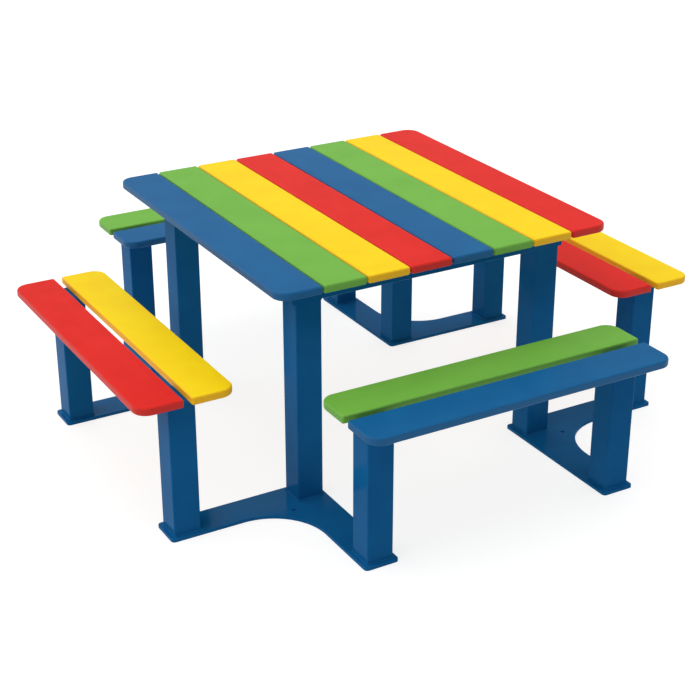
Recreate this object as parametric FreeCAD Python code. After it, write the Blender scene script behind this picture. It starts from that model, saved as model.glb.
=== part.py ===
import FreeCAD, Part
import math
import os

# Square garden table with a bench on each side, on one welded steel frame.
# Millimetres, +Z up. The origin is the middle of the set, on the ground.
# The table planks run along Y. Left is -X and front is -Y.

# Planks
plank_width = 140.0
plank_thickness = 25.0
plank_edge_radius = 6.0
plank_corner_radius = 45.0
corner_easing = 1.0
table_plank_count = 8
table_plank_gap = 5.0
table_plank_length = 1155.0
bench_plank_gap = 25.0

# Heights and places. An overhang is from the middle of a leg to the end of the planks
table_height = 753.0
seat_height = 473.0
table_overhang = 152.5
bench_overhang = 92.0
table_to_bench_gap = 107.0

# Square tubes of the legs, and the cross tubes, which are as wide as the legs
leg_side = 85.0
leg_wall = 3.0
tube_inner_radius = 1.0
cross_tube_height = 60.0
cross_tube_wall = 3.0
cross_tube_overhang = 12.0
cap_thickness = 3.0

# Base plates on the ground
base_thickness = 10.0
base_margin = 13.5
base_corner_radius = 12.0
base_arc_radius = 180.0
base_edge_radius = 1.5
anchor_hole_diameter = 14.0
anchor_from_leg = 35.5

# Flat bars under the planks
carrier_thickness = 6.0
carrier_inset = 35.0
bearer_thickness = 8.0
bearer_inset = 30.0
bearer_margin = 10.0
bearer_bolt_spacing = 60.0
flat_bar_corner_radius = 8.0
bolt_edge_distance = 15.0
bolt_from_tube = 15.0

# Fasteners
bolt_diameter = 8.0
bolt_hole_clearance = 1.0
bolt_head_across_flats = 13.0
bolt_head_height = 5.3
bolt_head_chamfer_angle = 30.0
bolt_tip_gap = 1.5
washer_diameter = 16.0
washer_thickness = 1.6
washer_bore_clearance = 0.4
insert_diameter = 12.0
insert_length = 13.0
insert_bore_clearance = 0.2
insert_hole_clearance = 0.2
insert_hole_depth_clearance = 0.5

# Weld beads
weld_size = 4.0
stitch_length = 60.0

# Derived sizes and places
plank_inner_corner_radius = plank_edge_radius + corner_easing
table_plank_pitch = plank_width + table_plank_gap
table_width = table_plank_count * table_plank_pitch - table_plank_gap
bench_width = 2 * plank_width + bench_plank_gap
bench_plank_offset = (plank_width + bench_plank_gap) / 2
leg_x = table_width / 2 - table_overhang
leg_y = table_plank_length / 2 - table_overhang
bench_x = table_width / 2 + table_to_bench_gap + bench_width / 2
bench_y = table_plank_length / 2 + table_to_bench_gap + bench_width / 2
leg_radius = tube_inner_radius + leg_wall
table_underside = table_height - plank_thickness
carrier_bottom = table_underside - carrier_thickness
cross_tube_bottom = carrier_bottom - cross_tube_height
cross_tube_radius = tube_inner_radius + cross_tube_wall
cap_inner_face = leg_x + leg_side / 2 + cross_tube_overhang - cap_thickness
seat_underside = seat_height - plank_thickness
bearer_bottom = seat_underside - bearer_thickness
carrier_bolt_offset = leg_side / 2 + bolt_from_tube
carrier_width = 2 * (carrier_bolt_offset + bolt_edge_distance)
bearer_width = leg_side + 2 * bearer_margin
anchor_from_row = leg_side / 2 + anchor_from_leg

hex_sides = 6
quarter_turn = 90.0
full_turn = 4 * quarter_turn
sides_of_middle = (-1, 1)
# Leg row and bench across the set, then along it, as each quarter turn meets them
quarter_plans = (
    ((leg_x, bench_x), (leg_y, bench_y)),
    ((leg_y, bench_y), (leg_x, bench_x)),
) * 2
table_plank_centres = [
    (i - (table_plank_count - 1) / 2) * table_plank_pitch for i in range(table_plank_count)
]
origin = FreeCAD.Vector(0, 0, 0)
y_axis = FreeCAD.Vector(0, 1, 0)
up = FreeCAD.Vector(0, 0, 1)


def export(node, solids):
    shape = solids[0] if len(solids) == 1 else Part.makeCompound(solids)
    shape.exportStep(f"parts/{node}.step")


def moved(shape, x, y, z):
    copy = shape.copy()
    copy.translate(FreeCAD.Vector(x, y, z))
    return copy


def turned(shape, quarter_turns):
    copy = shape.copy()
    copy.rotate(origin, up, quarter_turn * quarter_turns)
    return copy


def laid_along_x(shape):
    # What stood along Z from the origin lies along X
    copy = shape.copy()
    copy.rotate(origin, y_axis, quarter_turn)
    return copy


def cut(solid, tools):
    return solid.cut(tools).Solids[0]


def rounded_wire(corners):
    # Closed outline on Z = 0 from (x, y, radius) corners, each one an arc
    arcs = []
    for i, (x, y, radius) in enumerate(corners):
        here = FreeCAD.Vector(x, y, 0)
        last_x, last_y, _ = corners[i - 1]
        next_x, next_y, _ = corners[(i + 1) % len(corners)]
        back = (FreeCAD.Vector(last_x, last_y, 0) - here).normalize()
        ahead = (FreeCAD.Vector(next_x, next_y, 0) - here).normalize()
        half_angle = back.getAngle(ahead) / 2
        reach = radius / math.tan(half_angle)
        inward = (back + ahead).normalize()
        middle = here + inward * (radius / math.sin(half_angle) - radius)
        arcs.append((here + back * reach, middle, here + ahead * reach))
    edges = []
    for i, arc in enumerate(arcs):
        edges.append(Part.Arc(*arc).toShape())
        edges.append(Part.LineSegment(arc[2], arcs[(i + 1) % len(arcs)][0]).toShape())
    return Part.Wire(edges)


def rectangle(size_x, size_y, radius):
    x = size_x / 2
    y = size_y / 2
    return rounded_wire([(-x, -y, radius), (x, -y, radius), (x, y, radius), (-x, y, radius)])


def slab(wire, thickness):
    return Part.Face(wire).extrude(up * thickness)


def cylinder(diameter, bottom, top):
    return Part.makeCylinder(diameter / 2, top - bottom, up * bottom)


def ring(outer_diameter, bore, bottom, top):
    return cut(cylinder(outer_diameter, bottom, top), cylinder(bore, bottom, top))


def edges_at(solid, height):
    # Edges that lie wholly at one height
    return [
        edge for edge in solid.Edges
        if all(abs(vertex.Z - height) < Part.Precision.confusion() for vertex in edge.Vertexes)
    ]


def square_tube(size_x, size_y, wall, length):
    outer = rectangle(size_x, size_y, tube_inner_radius + wall)
    inner = rectangle(size_x - 2 * wall, size_y - 2 * wall, tube_inner_radius)
    return cut(slab(outer, length), slab(inner, length))


# Coloured planks, with blind holes in the underside for the threaded inserts

def plank(length, left_radius, right_radius, hole_places):
    x = plank_width / 2
    y = length / 2
    outline = rounded_wire(
        [(-x, -y, left_radius), (x, -y, right_radius), (x, y, right_radius), (-x, y, left_radius)]
    )
    board = slab(outline, plank_thickness)
    long_edges = edges_at(board, 0) + edges_at(board, plank_thickness)
    board = board.makeFillet(plank_edge_radius, long_edges)
    hole = cylinder(
        insert_diameter + insert_hole_clearance, 0, insert_length + insert_hole_depth_clearance
    )
    return cut(board, [moved(hole, hole_x, hole_y, 0) for hole_x, hole_y in hole_places])


# Fasteners, each modelled with the underside of its flat bar at Z = 0

def bolt(grip):
    # Hex bolt from below, through a washer and a bar as thick as the grip, into the plank
    head_top = -washer_thickness
    corner_radius = bolt_head_across_flats / 2 / math.cos(math.pi / hex_sides)
    corner = FreeCAD.Vector(corner_radius, 0, 0)
    corners = [
        FreeCAD.Rotation(up, full_turn / hex_sides * i).multVec(corner) for i in range(hex_sides)
    ]
    head = slab(Part.makePolygon(corners + corners[:1]), bolt_head_height)
    flat_radius = bolt_head_across_flats / 2
    spread = bolt_head_height / math.tan(math.radians(bolt_head_chamfer_angle))
    head = head.common(Part.makeCone(flat_radius, flat_radius + spread, bolt_head_height))
    shank = cylinder(bolt_diameter, head_top, grip + insert_length - bolt_tip_gap)
    return moved(head, 0, 0, head_top - bolt_head_height).fuse(shank).removeSplitter().Solids[0]


def washer():
    return ring(washer_diameter, bolt_diameter + washer_bore_clearance, -washer_thickness, 0)


def threaded_insert(grip):
    return ring(insert_diameter, bolt_diameter + insert_bore_clearance, grip, grip + insert_length)


def bolt_hole(grip):
    return cylinder(bolt_diameter + bolt_hole_clearance, 0, grip)


def export_fasteners(group, places, bottom, grip):
    for name, piece in (
        ("bolts", bolt(grip)), ("washers", washer()), ("inserts", threaded_insert(grip))
    ):
        export(f"{group}_{name}", [moved(piece, x, y, bottom) for x, y in places])


# Base plates: an L under one table leg and two bench legs, with a hollow curve outside

def base_plate(across, along):
    margin = leg_side / 2 + base_margin
    row_x, reach_x = across
    row_y, reach_y = along
    outline = rounded_wire([
        (row_x - margin, row_y - margin, base_corner_radius),
        (reach_x + margin, row_y - margin, base_corner_radius),
        (reach_x + margin, row_y + margin, base_corner_radius),
        (row_x + margin, row_y + margin, base_arc_radius),
        (row_x + margin, reach_y + margin, base_corner_radius),
        (row_x - margin, reach_y + margin, base_corner_radius),
    ])
    plate = slab(outline, base_thickness)
    plate = plate.makeFillet(base_edge_radius, edges_at(plate, base_thickness))
    anchor_hole = cylinder(anchor_hole_diameter, 0, base_thickness)
    return cut(plate, moved(anchor_hole, row_x + anchor_from_row, row_y + anchor_from_row, 0))


# Weld beads

def ring_bead(direction):
    # Bead round a leg, widest at Z = 0 and run out along the leg
    radius = leg_radius + weld_size
    wide = rectangle(leg_side + 2 * weld_size, leg_side + 2 * weld_size, radius)
    narrow = moved(rectangle(leg_side, leg_side, leg_radius), 0, 0, direction * weld_size)
    leg_core = slab(rectangle(leg_side, leg_side, leg_radius), direction * weld_size)
    return cut(Part.makeLoft([wide, narrow], True, True), leg_core)


def corner_bead(length):
    # Straight bead along Y in the corner under a flat face at Z = 0, on the +X side
    corners = [origin, FreeCAD.Vector(weld_size, 0, 0), FreeCAD.Vector(0, 0, -weld_size), origin]
    bead = Part.Face(Part.makePolygon(corners)).extrude(y_axis * length)
    return moved(bead, 0, -length / 2, 0)


def stitch_bead(cross_tube):
    # Bead along X that fills the groove beside the rounded top of a cross tube
    edge = leg_side / 2
    top = cross_tube_height / 2
    radius = cross_tube_radius
    start = -stitch_length / 2
    corners = [
        FreeCAD.Vector(start, edge - radius, top),
        FreeCAD.Vector(start, edge + radius, top),
        FreeCAD.Vector(start, edge, top - radius),
        FreeCAD.Vector(start, edge - radius, top - radius),
    ]
    block = Part.Face(Part.makePolygon(corners + corners[:1]))
    block = block.extrude(FreeCAD.Vector(stitch_length, 0, 0))
    return cut(block, cross_tube)


def flush_bead(cross_tube):
    # Bead along X, ground flush, that fills the groove under the rounded edge of a cross tube
    length = leg_side - 2 * leg_radius
    radius = cross_tube_radius
    corner = FreeCAD.Vector(-length / 2, leg_side / 2 - radius, -cross_tube_height / 2)
    return cut(Part.makeBox(length, radius, radius, corner), cross_tube)


def build_table():
    bolt_places = [
        (x, row * leg_y + side * carrier_bolt_offset)
        for row in sides_of_middle for x in table_plank_centres for side in sides_of_middle
    ]
    hole_places = [(0, y) for x, y in bolt_places if x == table_plank_centres[0]]
    last = table_plank_count - 1
    for i, x in enumerate(table_plank_centres):
        left_radius = plank_corner_radius if i == 0 else plank_inner_corner_radius
        right_radius = plank_corner_radius if i == last else plank_inner_corner_radius
        board = plank(table_plank_length, left_radius, right_radius, hole_places)
        export(f"table_plank_{i + 1}", [moved(board, x, 0, table_underside)])
    export_fasteners("table", bolt_places, carrier_bottom, carrier_thickness)

    carrier = slab(
        rectangle(table_width - 2 * carrier_inset, carrier_width, flat_bar_corner_radius),
        carrier_thickness,
    )
    carrier = cut(carrier, [
        moved(bolt_hole(carrier_thickness), x, side * carrier_bolt_offset, 0)
        for x in table_plank_centres for side in sides_of_middle
    ])
    tube = square_tube(cross_tube_height, leg_side, cross_tube_wall, 2 * cap_inner_face)
    tube = moved(laid_along_x(tube), -cap_inner_face, 0, 0)
    tube_outline = rectangle(cross_tube_height, leg_side, cross_tube_radius)
    tube_core = moved(laid_along_x(slab(tube_outline, 2 * cap_inner_face)), -cap_inner_face, 0, 0)
    cap = laid_along_x(slab(tube_outline, cap_thickness))
    stitch = stitch_bead(tube_core)
    seams = [(a + b) / 2 for a, b in zip(table_plank_centres, table_plank_centres[1:])]
    leg_height = cross_tube_bottom - base_thickness
    leg = square_tube(leg_side, leg_side, leg_wall, leg_height)
    bead = moved(corner_bead(leg_side - 2 * cross_tube_radius), leg_side / 2, 0, 0)
    flush = flush_bead(tube_core)

    leg_beads = []
    stitches = []
    tube_middle = carrier_bottom - cross_tube_height / 2
    for row, row_name in zip(sides_of_middle, ("front", "back")):
        y = row * leg_y
        export(f"plank_carrier_{row_name}", [moved(carrier, 0, y, carrier_bottom)])
        export(f"cross_tube_{row_name}", [moved(tube, 0, y, tube_middle)])
        for quarter_turns in (0, 2):
            stitches += [
                moved(turned(stitch, quarter_turns), x, y, tube_middle) for x in seams
            ]
        for end, end_name in zip(sides_of_middle, ("left", "right")):
            cap_turn = 1 - end
            cap_place = (end * cap_inner_face, y, tube_middle)
            export(f"cross_tube_cap_{row_name}_{end_name}", [moved(turned(cap, cap_turn), *cap_place)])
            x = end * leg_x
            export(f"table_leg_{row_name}_{end_name}", [moved(leg, x, y, base_thickness)])
            for quarter_turns in (0, 2):
                leg_beads += [
                    moved(turned(bead, quarter_turns), x, y, cross_tube_bottom),
                    moved(turned(flush, quarter_turns), x, y, tube_middle),
                ]
    export("cross_tube_leg_welds", leg_beads)
    export("carrier_welds", stitches)


def build_benches():
    # Each bench is made as the right one, then turned about the middle of the table
    leg = square_tube(leg_side, leg_side, leg_wall, bearer_bottom - base_thickness)
    bearer = slab(
        rectangle(bench_width - 2 * bearer_inset, bearer_width, flat_bar_corner_radius),
        bearer_thickness,
    )
    bearer_bolts = [
        (across * bench_plank_offset, along * bearer_bolt_spacing / 2)
        for across in sides_of_middle for along in sides_of_middle
    ]
    bearer = cut(bearer, [moved(bolt_hole(bearer_thickness), x, y, 0) for x, y in bearer_bolts])

    bolt_places = []
    bearer_beads = []
    bench_ends = (
        ("right", "front", "back"), ("back", "right", "left"),
        ("left", "back", "front"), ("front", "left", "right"),
    )
    for quarter_turns, (bench, *ends) in enumerate(bench_ends):
        (_, reach), (row, _) = quarter_plans[quarter_turns]
        length = 2 * (row + bench_overhang)
        hole_places = [
            (0, end * row + along * bearer_bolt_spacing / 2)
            for end in sides_of_middle for along in sides_of_middle
        ]
        inner = plank(length, plank_corner_radius, plank_inner_corner_radius, hole_places)
        outer = plank(length, plank_inner_corner_radius, plank_corner_radius, hole_places)
        for name, board, side in (("inner", inner, -1), ("outer", outer, 1)):
            placed = moved(board, reach + side * bench_plank_offset, 0, seat_underside)
            export(f"{bench}_bench_plank_{name}", [turned(placed, quarter_turns)])
        for side, end in zip(sides_of_middle, ends):
            y = side * row
            placed_leg = moved(leg, reach, y, base_thickness)
            export(f"{bench}_bench_leg_{end}", [turned(placed_leg, quarter_turns)])
            placed_bearer = moved(bearer, reach, y, bearer_bottom)
            export(f"{bench}_bench_bearer_{end}", [turned(placed_bearer, quarter_turns)])
            bearer_beads.append(turned(moved(ring_bead(-1), reach, y, bearer_bottom), quarter_turns))
            for bolt_x, bolt_y in bearer_bolts:
                place = FreeCAD.Vector(reach + bolt_x, y + bolt_y, 0)
                place = FreeCAD.Rotation(up, quarter_turn * quarter_turns).multVec(place)
                bolt_places.append((place.x, place.y))
    export_fasteners("bench", bolt_places, bearer_bottom, bearer_thickness)
    export("bearer_welds", bearer_beads)


def build_base():
    foot_bead = moved(ring_bead(1), 0, 0, base_thickness)
    foot_beads = []
    for quarter_turns, corner in enumerate(("back_right", "back_left", "front_left", "front_right")):
        across, along = quarter_plans[quarter_turns]
        export(f"base_plate_{corner}", [turned(base_plate(across, along), quarter_turns)])
        (row_x, reach_x), (row_y, reach_y) = across, along
        leg_places = ((row_x, row_y), (reach_x, row_y), (row_x, reach_y))
        foot_beads += [turned(moved(foot_bead, x, y, 0), quarter_turns) for x, y in leg_places]
    export("foot_welds", foot_beads)


os.makedirs("parts", exist_ok=True)
build_base()
build_benches()
build_table()
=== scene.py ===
import math

import bmesh
import bpy
from mathutils import Matrix, Vector


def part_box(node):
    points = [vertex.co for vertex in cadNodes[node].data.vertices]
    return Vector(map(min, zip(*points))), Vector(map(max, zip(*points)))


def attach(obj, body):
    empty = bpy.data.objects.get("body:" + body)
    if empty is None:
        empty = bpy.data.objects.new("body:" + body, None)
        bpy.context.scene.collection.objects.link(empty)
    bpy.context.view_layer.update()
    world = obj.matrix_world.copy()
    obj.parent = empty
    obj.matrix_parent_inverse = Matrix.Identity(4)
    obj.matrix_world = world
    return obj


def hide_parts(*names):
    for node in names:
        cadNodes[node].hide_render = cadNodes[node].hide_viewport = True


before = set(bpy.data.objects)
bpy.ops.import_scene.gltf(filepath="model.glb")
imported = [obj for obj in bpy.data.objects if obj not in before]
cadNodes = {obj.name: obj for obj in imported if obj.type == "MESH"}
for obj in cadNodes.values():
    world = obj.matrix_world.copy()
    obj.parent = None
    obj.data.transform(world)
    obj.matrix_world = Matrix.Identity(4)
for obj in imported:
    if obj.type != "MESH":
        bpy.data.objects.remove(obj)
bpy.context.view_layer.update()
mm = 0.001  # metres
near = mm / 10  # heights this close are the same
xAxis = 0
zAxis = 2
white = (1, 1, 1, 1)
print("frame loaded,", len(cadNodes), "nodes")


def colour(code):
    parts = [int(code[i:i + 2], 16) / 255 for i in (0, 2, 4)]
    return [p / 12.92 if p <= 0.04045 else ((p + 0.055) / 1.055) ** 2.4 for p in parts] + [1]


def addNode(tree, kind, settings=(), links=()):
    made = tree.nodes.new("ShaderNode" + kind)
    for key, value in dict(settings).items():
        if isinstance(key, int) or key in made.inputs:
            made.inputs[key].default_value = value
        else:
            setattr(made, key, value)
    for key, source in dict(links).items():
        tree.links.new(source, made.inputs[key])
    return made


def newMaterial(name):
    material = bpy.data.materials.new(name)
    material.use_nodes = True
    material.node_tree.nodes.clear()
    return material, material.node_tree


# A Mix node's sockets share their names, so they go by number
valueA, valueB = 2, 3
colourA, colourB = 6, 7
mixedColour = 2

noiseMiddle = {"From Min": 0.35, "From Max": 0.65}  # where most of a noise lies


# High-density polyethylene board, extruded in one colour, its edges routed round afterwards.
# The eye gets a satin, faintly cloudy colour with fine grain, drawn lines along the board,
# and edges that are rougher, with the router's marks across them, and a deeper tone that is painted
# shade.
hdpeBoard = {
    "tones": {  # darker and lighter pigment, and a deeper tone on the sides that is painted shade
        "blue": ("0C5B90", "106196", "0E5D91"),
        "green": ("70B143", "76B748", "6FAF46"),
        "yellow": ("FBD30F", "FFDC14", "FFC31A"),
        "red": ("DB2018", "E5261E", "D92C24"),
    },
    "toneSpan": (0.6, 1.0),  # clouds and lines together, at the darker and at the lighter pigment
    "cloudSize": 120,  # mm
    "cloudDetail": 4,
    "lineWidth": 3,  # mm, real die lines are under 1 mm, drawn coarser so that they show
    "lineLength": 3000,
    "lineDetail": 3,
    "lineWeight": 0.6,  # in the tone, against 1 for the clouds
    "lineSpan": (0.3, 0.7),  # the lines' values at the two roughnesses
    "grainSize": 2.5,  # mm, real grain is near 0.5 mm, drawn coarser so that it shows
    "grainDetail": 3,
    "grainCrispness": 0.6,
    "grainDepth": 0.06,
    "edgeSpan": (0.97, 0.6),  # how level the surface is where the routed edge and its painted shade start, and where they are full
    "cutterPitch": 5,  # mm between the router's marks
    "cutterWander": 0.4,
    "cutterDepth": 0.04,
    "reliefStrength": 0.5,
    "roughness": (0.34, 0.48),
    "edgeRoughness": 0.45,
    "sheen": (0.03, 0.22),  # faces, then edges, whose tool marks catch more of the light around
    "ior": 1.5,
}
waveRate = 10  # radians along a metre of a diagonal wave at scale 1


def makeHdpe(name, tones):
    finish = hdpeBoard
    material, tree = newMaterial(name)
    place = addNode(tree, "TexCoord")
    cloud = addNode(
        tree, "TexNoise", {"Scale": 1 / (finish["cloudSize"] * mm), "Detail": finish["cloudDetail"]},
        {"Vector": place.outputs["Object"]},
    )
    along = addNode(
        tree, "Mapping",
        {"Scale": (1 / (finish["lineLength"] * mm), 1 / (finish["lineWidth"] * mm), 1)},
        {"Vector": place.outputs["UV"]},
    )
    lines = addNode(
        tree, "TexNoise", {"Scale": 1, "Detail": finish["lineDetail"]}, {"Vector": along.outputs[0]},
    )
    grain = addNode(
        tree, "TexNoise",
        {
            "Scale": 1 / (finish["grainSize"] * mm), "Detail": finish["grainDetail"],
            "Roughness": finish["grainCrispness"],
        },
        {"Vector": place.outputs["Object"]},
    )
    tone = addNode(
        tree, "Math", {"operation": "MULTIPLY_ADD", 1: finish["lineWeight"]},
        {0: lines.outputs[0], 2: cloud.outputs[0]},
    )
    tone = addNode(
        tree, "MapRange", {"From Min": finish["toneSpan"][0], "From Max": finish["toneSpan"][1]},
        {"Value": tone.outputs[0]},
    )
    face = addNode(
        tree, "Mix", {"data_type": "RGBA", colourA: colour(tones[0]), colourB: colour(tones[1])},
        {"Factor": tone.outputs[0]},
    )

    # The routed edge is whatever doesn't face straight up or down; there the colour turns to the deeper
    # tone, painted shade, while the roughness, tool marks and sheen are the edge's own
    facing = addNode(tree, "SeparateXYZ", {}, {"Vector": place.outputs["Normal"]})
    level = addNode(tree, "Math", {"operation": "ABSOLUTE"}, {0: facing.outputs["Z"]})
    edge = addNode(
        tree, "MapRange", {"From Min": finish["edgeSpan"][0], "From Max": finish["edgeSpan"][1]},
        {"Value": level.outputs[0]},
    )
    # painted shade: the sides take the deeper tone in place of the face colour
    pigmentAndSideShade = addNode(
        tree, "Mix", {"data_type": "RGBA", colourB: colour(tones[2])},
        {"Factor": edge.outputs[0], colourA: face.outputs[mixedColour]},
    )
    satin = addNode(
        tree, "MapRange",
        {
            "From Min": finish["lineSpan"][0], "From Max": finish["lineSpan"][1],
            "To Min": finish["roughness"][0], "To Max": finish["roughness"][1],
        },
        {"Value": lines.outputs[0]},
    )
    gloss = addNode(
        tree, "Mix", {valueB: finish["edgeRoughness"]},
        {"Factor": edge.outputs[0], valueA: satin.outputs[0]},
    )
    marks = addNode(
        tree, "TexWave",
        {
            "bands_direction": "DIAGONAL", "Distortion": finish["cutterWander"],
            "Scale": math.tau / waveRate / (finish["cutterPitch"] * mm),
        },
        {"Vector": place.outputs["Object"]},
    )
    marks = addNode(
        tree, "Math", {"operation": "MULTIPLY"}, {0: marks.outputs["Fac"], 1: edge.outputs[0]},
    )
    relief = addNode(
        tree, "Bump", {"Strength": finish["reliefStrength"], "Distance": finish["grainDepth"] * mm},
        {"Height": grain.outputs[0]},
    )
    relief = addNode(
        tree, "Bump", {"Strength": finish["reliefStrength"], "Distance": finish["cutterDepth"] * mm},
        {"Height": marks.outputs[0], "Normal": relief.outputs[0]},
    )
    sheen = addNode(
        tree, "MapRange", {"To Min": finish["sheen"][0], "To Max": finish["sheen"][1]},
        {"Value": edge.outputs[0]},
    )
    shader = addNode(
        tree, "BsdfPrincipled", {"IOR": finish["ior"]},
        {
            "Base Color": pigmentAndSideShade.outputs[mixedColour], "Roughness": gloss.outputs[0],
            "Specular IOR Level": sheen.outputs[0], "Normal": relief.outputs[0],
        },
    )
    addNode(tree, "OutputMaterial", {}, {"Surface": shader.outputs[0]})
    return material


# Mild steel under a polyester powder coat, baked on, semi-gloss.
# The eye gets one deep blue with soft reflections that ripple in its orange peel.
powderCoat = {
    "tones": ("115F97", "16659F"),
    "cloudSize": 160,  # mm
    "cloudDetail": 5,
    "peelSize": 3,  # mm
    "peelDetail": 1,
    "peelDepth": 0.03,
    "reliefStrength": 0.3,
    "roughness": (0.08, 0.15),
    "sheen": 0.016,
    "ior": 1.5,
}


def makePowderCoat():
    finish = powderCoat
    material, tree = newMaterial("powderCoatedSteel")
    place = addNode(tree, "TexCoord")
    cloud = addNode(
        tree, "TexNoise", {"Scale": 1 / (finish["cloudSize"] * mm), "Detail": finish["cloudDetail"]},
        {"Vector": place.outputs["Object"]},
    )
    peel = addNode(
        tree, "TexNoise", {"Scale": 1 / (finish["peelSize"] * mm), "Detail": finish["peelDetail"]},
        {"Vector": place.outputs["Object"]},
    )
    tone = addNode(tree, "MapRange", noiseMiddle, {"Value": cloud.outputs[0]})
    paint = addNode(
        tree, "Mix",
        {"data_type": "RGBA", colourA: colour(finish["tones"][0]), colourB: colour(finish["tones"][1])},
        {"Factor": tone.outputs[0]},
    )
    gloss = addNode(
        tree, "MapRange",
        {**noiseMiddle, "To Min": finish["roughness"][0], "To Max": finish["roughness"][1]},
        {"Value": cloud.outputs[0]},
    )
    relief = addNode(
        tree, "Bump", {"Strength": finish["reliefStrength"], "Distance": finish["peelDepth"] * mm},
        {"Height": peel.outputs[0]},
    )
    shader = addNode(
        tree, "BsdfPrincipled", {"IOR": finish["ior"], "Specular IOR Level": finish["sheen"]},
        {
            "Base Color": paint.outputs[mixedColour], "Roughness": gloss.outputs[0],
            "Normal": relief.outputs[0],
        },
    )
    addNode(tree, "OutputMaterial", {}, {"Surface": shader.outputs[0]})
    return material


# Zinc-plated steel of the bolts and washers.
# The eye gets a grey, slightly blue metal, blotched where the passivation ran.
zincPlate = {
    "tones": ("A7ADB2", "C3C7CA"),
    "blotchSize": 6,  # mm
    "blotchDetail": 3,
    "roughness": (0.28, 0.42),
}

# Brass of the threaded inserts, turned from bar.
# The eye gets a warm yellow metal with small uneven spots.
turnedBrass = {
    "tones": ("B38A3C", "C9A24F"),
    "blotchSize": 2,  # mm
    "blotchDetail": 3,
    "roughness": (0.2, 0.3),
}


def makeMetal(name, finish):
    material, tree = newMaterial(name)
    place = addNode(tree, "TexCoord")
    blotch = addNode(
        tree, "TexNoise", {"Scale": 1 / (finish["blotchSize"] * mm), "Detail": finish["blotchDetail"]},
        {"Vector": place.outputs["Object"]},
    )
    tone = addNode(tree, "MapRange", noiseMiddle, {"Value": blotch.outputs[0]})
    skin = addNode(
        tree, "Mix",
        {"data_type": "RGBA", colourA: colour(finish["tones"][0]), colourB: colour(finish["tones"][1])},
        {"Factor": tone.outputs[0]},
    )
    gloss = addNode(
        tree, "MapRange",
        {**noiseMiddle, "To Min": finish["roughness"][0], "To Max": finish["roughness"][1]},
        {"Value": blotch.outputs[0]},
    )
    shader = addNode(
        tree, "BsdfPrincipled", {"Metallic": 1},
        {"Base Color": skin.outputs[mixedColour], "Roughness": gloss.outputs[0]},
    )
    addNode(tree, "OutputMaterial", {}, {"Surface": shader.outputs[0]})
    return material


boards = {tint: makeHdpe("hdpeBoard" + tint.title(), tones) for tint, tones in hdpeBoard["tones"].items()}
coatedSteel = makePowderCoat()
zincSteel = makeMetal("zincPlatedSteel", zincPlate)
brass = makeMetal("turnedBrass", turnedBrass)
print("materials made,", len(bpy.data.materials), "in all")


sharpAngle = 40  # degrees, edges that turn more than this stay crisp


def placePiece(name, mesh, material, slot, *stoodFor):
    mesh.normal_update()
    data = bpy.data.meshes.new(name)
    mesh.to_mesh(data)
    mesh.free()
    data.shade_smooth()
    data.set_sharp_from_angle(angle=math.radians(sharpAngle))
    data.materials.append(material)
    piece = bpy.data.objects.new(name, data)
    bpy.context.scene.collection.objects.link(piece)
    even = piece.modifiers.new("evenShading", "WEIGHTED_NORMAL")  # keeps the flats flat beside the rounds
    even.keep_sharp = True
    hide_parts(*stoodFor)
    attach(piece, "root")


def boxPlace(low, high):
    return Matrix.Translation((low + high) / 2) @ Matrix.Diagonal((*(high - low), 1))


def boxMesh(low, high):
    mesh = bmesh.new()
    bmesh.ops.create_cube(mesh, size=1, matrix=boxPlace(low, high))
    return mesh


def isUpright(edge):
    return abs(edge.verts[0].co.z - edge.verts[1].co.z) > mm


def liesAt(edge, height):
    return all(abs(v.co.z - height) < near for v in edge.verts)


def roundOff(mesh, edges, radius, steps):
    bmesh.ops.bevel(
        mesh, geom=edges, offset=radius * mm, offset_type="OFFSET", affect="EDGES",
        segments=steps, profile=0.5, material=-1, clamp_overlap=True,
    )


# Coloured boards: the corners on a table's or a bench's outside are full, the others just eased
plank = {
    "outerCorner": 45,  # mm
    "innerCorner": 7,
    "edge": 6,
    "cornerSteps": 12,
    "easeSteps": 3,
    "edgeSteps": 5,
    "tableColours": ("blue", "green", "yellow", "red") * 2,
    "benches": {  # away from the table, and the inner and outer board's colours
        "left": ((-1, 0, 0), "yellow", "red"),
        "right": ((1, 0, 0), "red", "yellow"),
        "front": ((0, -1, 0), "green", "blue"),
        "back": ((0, 1, 0), "blue", "green"),
    },
}


def makePlank(node, tint, outside):
    low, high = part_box(node)
    middle = (low + high) / 2
    mesh = boxMesh(low, high)
    full = [e for e in mesh.edges if isUpright(e) and (e.verts[0].co - middle).dot(outside) > 0]
    if full:
        roundOff(mesh, full, plank["outerCorner"], plank["cornerSteps"])
    eased = [e for e in mesh.edges if isUpright(e) and (e.verts[0].co - middle).dot(outside) <= 0]
    roundOff(mesh, eased, plank["innerCorner"], plank["easeSteps"])
    rims = [e for e in mesh.edges if liesAt(e, low.z) or liesAt(e, high.z)]
    roundOff(mesh, rims, plank["edge"], plank["edgeSteps"])

    along = Vector((0, 1, 0))
    across = Vector((1, 0, 0))
    if high.x - low.x > high.y - low.y:
        along, across = across, along
    uv = mesh.loops.layers.uv.new("alongBoard")  # metres along and across the board
    for face in mesh.faces:
        for loop in face.loops:
            at = loop.vert.co
            loop[uv].uv = (at.dot(along), at.dot(across) + at.z)
    placePiece("board_" + node, mesh, boards[tint], "plank_" + tint, node)


lastPlank = len(plank["tableColours"]) - 1
for i, tint in enumerate(plank["tableColours"]):
    outside = Vector((-1 if i == 0 else 1 if i == lastPlank else 0, 0, 0))
    makePlank("table_plank_" + str(i + 1), tint, outside)
for bench, (away, innerTint, outerTint) in plank["benches"].items():
    makePlank(bench + "_bench_plank_inner", innerTint, -Vector(away))
    makePlank(bench + "_bench_plank_outer", outerTint, Vector(away))
print("boards made")


# Square tubes of the legs and the cross tubes
tube = {"radius": 4, "steps": 5}  # mm
allLegs = [node for node in cadNodes if "_leg_" in node and not node.endswith("welds")]
crossTubes = ("cross_tube_front", "cross_tube_back")


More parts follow.
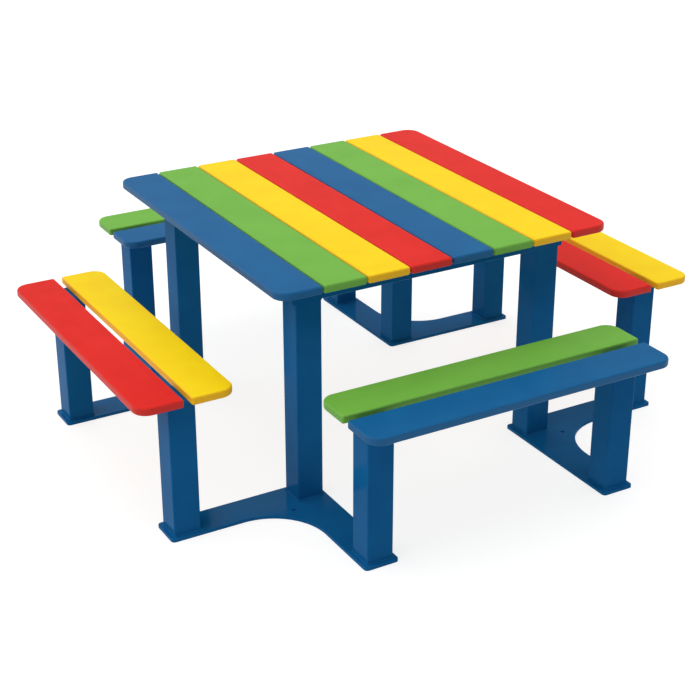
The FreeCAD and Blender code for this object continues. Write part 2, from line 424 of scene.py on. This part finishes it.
def makeTube(node, axis):
    mesh = boxMesh(*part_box(node))
    longEdges = [e for e in mesh.edges if abs((e.verts[0].co - e.verts[1].co)[axis]) > mm]
    roundOff(mesh, longEdges, tube["radius"], tube["steps"])
    placePiece("tube_" + node, mesh, coatedSteel, "frame_blue", node)


for node in cadNodes:
    if node in allLegs:
        makeTube(node, zAxis)
    elif node in crossTubes:
        makeTube(node, xAxis)
print("tubes made")


# Fillet welds round the feet and under the bearers, rippled as the torch moved along
bead = {
    "size": 4,  # mm up the leg and out on the plate
    "ripples": 17,  # along each side of a leg
    "rippleCuts": 6,
    "rippleHeight": 0.6,
    "lean": 0.8,  # how far the middle of a ripple runs ahead, in radians
    "rings": (  # out, up and ripple, as shares
        (0.32, 0.86, 0.6),
        (0.62, 0.62, 1),
        (0.86, 0.32, 0.6),
        (1, 0, 0),
        (0, 0, 0),
    ),
}


def addRing(mesh, leg, upward):
    size = bead["size"] * mm
    radius = tube["radius"] * mm
    low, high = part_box(leg)
    half = (high.x - low.x) / 2
    flat = half - radius
    foot = Vector(((low.x + high.x) / 2, (low.y + high.y) / 2, low.z if upward > 0 else high.z))
    place = Matrix.Translation(foot + Vector((0, 0, upward * size)))
    others = set(mesh.faces)
    square = bmesh.ops.create_grid(mesh, x_segments=1, y_segments=1, size=half, matrix=place)
    bmesh.ops.bevel(
        mesh, geom=square["verts"], offset=radius, offset_type="OFFSET", affect="VERTICES",
        segments=tube["steps"], profile=0.5, material=-1,
    )
    outline = [f for f in mesh.faces if f not in others]
    sides = [e for f in outline for e in f.edges if e.calc_length() > half]
    bmesh.ops.delete(mesh, geom=outline, context="FACES_ONLY")
    bmesh.ops.subdivide_edges(mesh, edges=sides, cuts=bead["ripples"] * bead["rippleCuts"] - 1)
    start = [e for e in mesh.edges if not e.link_faces]
    rim = start
    for out, up, share in bead["rings"]:
        made = bmesh.ops.extrude_edge_only(mesh, edges=rim)["geom"]
        rim = [g for g in made if isinstance(g, bmesh.types.BMEdge)]
        for v in [g for g in made if isinstance(g, bmesh.types.BMVert)]:
            side = v.co - foot
            core = Vector((max(-flat, min(flat, side.x)), max(-flat, min(flat, side.y)), 0))
            away = Vector((side.x - core.x, side.y - core.y, 0)).normalized()
            turns = (core.x + core.y) / (2 * flat) * bead["ripples"] * math.pi
            swell = bead["rippleHeight"] * mm * share * abs(math.sin(turns + bead["lean"] * share))
            v.co = foot + core + away * (radius + out * size + swell)
            v.co.z += upward * (up * size + swell)
    bmesh.ops.bridge_loops(mesh, edges=start + rim)
    return [f for f in mesh.faces if f not in others]


def makeBeads(node, legs, upward):
    mesh = bmesh.new()
    for leg in legs:
        addRing(mesh, leg, upward)
    bmesh.ops.recalc_face_normals(mesh, faces=mesh.faces)
    placePiece("bead_" + node, mesh, coatedSteel, "frame_blue", node)


# Under the cross tubes only the left and right sides keep a bead. At the front and back the groove by
# the tube's round edge is filled and ground flush, as if the leg's outline ran on up.
def makeTopBeads(node, legs):
    mesh = bmesh.new()
    radius = tube["radius"] * mm
    for leg in legs:
        low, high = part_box(leg)
        middle = (low.y + high.y) / 2
        flat = (high.y - low.y) / 2 - radius
        ring = addRing(mesh, leg, -1)
        ground = [f for f in ring if abs(f.calc_center_median().y - middle) > flat]
        bmesh.ops.delete(mesh, geom=ground, context="FACES")
        bmesh.ops.holes_fill(mesh, edges=[e for e in mesh.edges if e.is_boundary])
        filled = boxPlace(Vector((low.x, low.y, high.z)), Vector((high.x, high.y, high.z + radius)))
        corners = bmesh.ops.create_cube(mesh, size=1, matrix=filled)["verts"]
        upright = [e for v in corners for e in v.link_edges if e.verts[0] is v and isUpright(e)]
        roundOff(mesh, upright, tube["radius"], tube["steps"])
    bmesh.ops.recalc_face_normals(mesh, faces=mesh.faces)
    placePiece("bead_" + node, mesh, coatedSteel, "frame_blue", node)


makeBeads("foot_welds", allLegs, 1)
makeBeads("bearer_welds", [leg for leg in allLegs if "bench" in leg], -1)
makeTopBeads("cross_tube_leg_welds", [leg for leg in allLegs if "table" in leg])
print("welds made")


# The rest keeps its CAD shape
for node, shape in cadNodes.items():
    if node.endswith(("bolts", "washers")):
        finish = zincSteel
    elif node.endswith("inserts"):
        finish = brass
    else:
        finish = coatedSteel
    shape.data.materials.clear()
    shape.data.materials.append(finish)
print("CAD nodes dressed")


# Studio: a pale floor that glows softly, under an even sky that looks white, with two broad lamps
studio = {
    "floorSize": 300,  # metres
    "floorColour": "A8A8A8",
    "floorGlow": 0.75,  # what the camera and reflections see besides the light that falls on it
    "floorGlowLight": 0.37,  # glow the floor gives off itself, as soft light on the undersides and the legs at the back
    "skyLight": 0.2,
    "skySeen": 1,  # white to the camera and in reflections
    "lamps": {  # where each one shines from, its strength, and how many degrees of the sky it fills
        "overhead": ((-0.15, 0.25, 1), 2.53, 110),
        "leftSide": ((-1, 0, 0.5), 0.28, 60),
    },
}

mesh = bmesh.new()
bmesh.ops.create_grid(mesh, x_segments=1, y_segments=1, size=studio["floorSize"] / 2)
floorData = bpy.data.meshes.new("studioFloor")
mesh.to_mesh(floorData)
mesh.free()
floor = bpy.data.objects.new("studioFloor", floorData)
bpy.context.scene.collection.objects.link(floor)


# 1 for what the camera sees, straight, in a reflection or through something clear, and 0 for soft light
def seenDirectly(tree):
    path = addNode(tree, "LightPath")
    seen = addNode(
        tree, "Math", {"operation": "MAXIMUM"},
        {0: path.outputs["Is Camera Ray"], 1: path.outputs["Is Glossy Ray"]},
    )
    return addNode(
        tree, "Math", {"operation": "MAXIMUM"},
        {0: seen.outputs[0], 1: path.outputs["Is Transmission Ray"]},
    )


paper, tree = newMaterial("studioPaper")
seen = seenDirectly(tree)
glow = addNode(
    tree, "MapRange", {"To Min": studio["floorGlowLight"], "To Max": studio["floorGlow"]},
    {"Value": seen.outputs[0]},
)
glowing = addNode(tree, "Emission", {"Color": white}, {"Strength": glow.outputs[0]})
matte = addNode(tree, "BsdfDiffuse", {"Color": colour(studio["floorColour"])})
both = addNode(tree, "AddShader", {}, {0: matte.outputs[0], 1: glowing.outputs[0]})
addNode(tree, "OutputMaterial", {}, {"Surface": both.outputs[0]})
floorData.materials.append(paper)

world = bpy.data.worlds.new("softSky")
bpy.context.scene.world = world
world.use_nodes = True
tree = world.node_tree
tree.nodes.clear()
seen = seenDirectly(tree)
glow = addNode(
    tree, "MapRange", {"To Min": studio["skyLight"], "To Max": studio["skySeen"]},
    {"Value": seen.outputs[0]},
)
sky = addNode(tree, "Background", {"Color": white}, {"Strength": glow.outputs[0]})
addNode(tree, "OutputWorld", {}, {"Surface": sky.outputs[0]})

for name, (fromPlace, strength, spread) in studio["lamps"].items():
    lamp = bpy.data.lights.new(name, "SUN")
    lamp.energy = strength
    lamp.angle = math.radians(spread)
    lampObject = bpy.data.objects.new(name, lamp)
    lampObject.rotation_euler = Vector(fromPlace).to_track_quat("Z", "Y").to_euler()
    bpy.context.scene.collection.objects.link(lampObject)
print("studio made")


# Camera, fitted to the photograph
view = {
    "place": (-2.41056, -4.15404, 2.45624),  # metres
    "down": 24.948,  # degrees below level
    "turn": -29.9365,
    "lens": 81.16,  # mm
    "sensor": 36,
}
levelTilt = 90  # degrees, a camera that isn't turned looks straight down
cameraData = bpy.data.cameras.new("photoView")
cameraData.lens = view["lens"]
cameraData.sensor_width = view["sensor"]
camera = bpy.data.objects.new("photoView", cameraData)
camera.location = view["place"]
camera.rotation_euler = (math.radians(levelTilt - view["down"]), 0, math.radians(view["turn"]))
bpy.context.scene.collection.objects.link(camera)
bpy.context.scene.camera = camera
bpy.context.scene.view_settings.view_transform = "Standard"
print("camera placed")
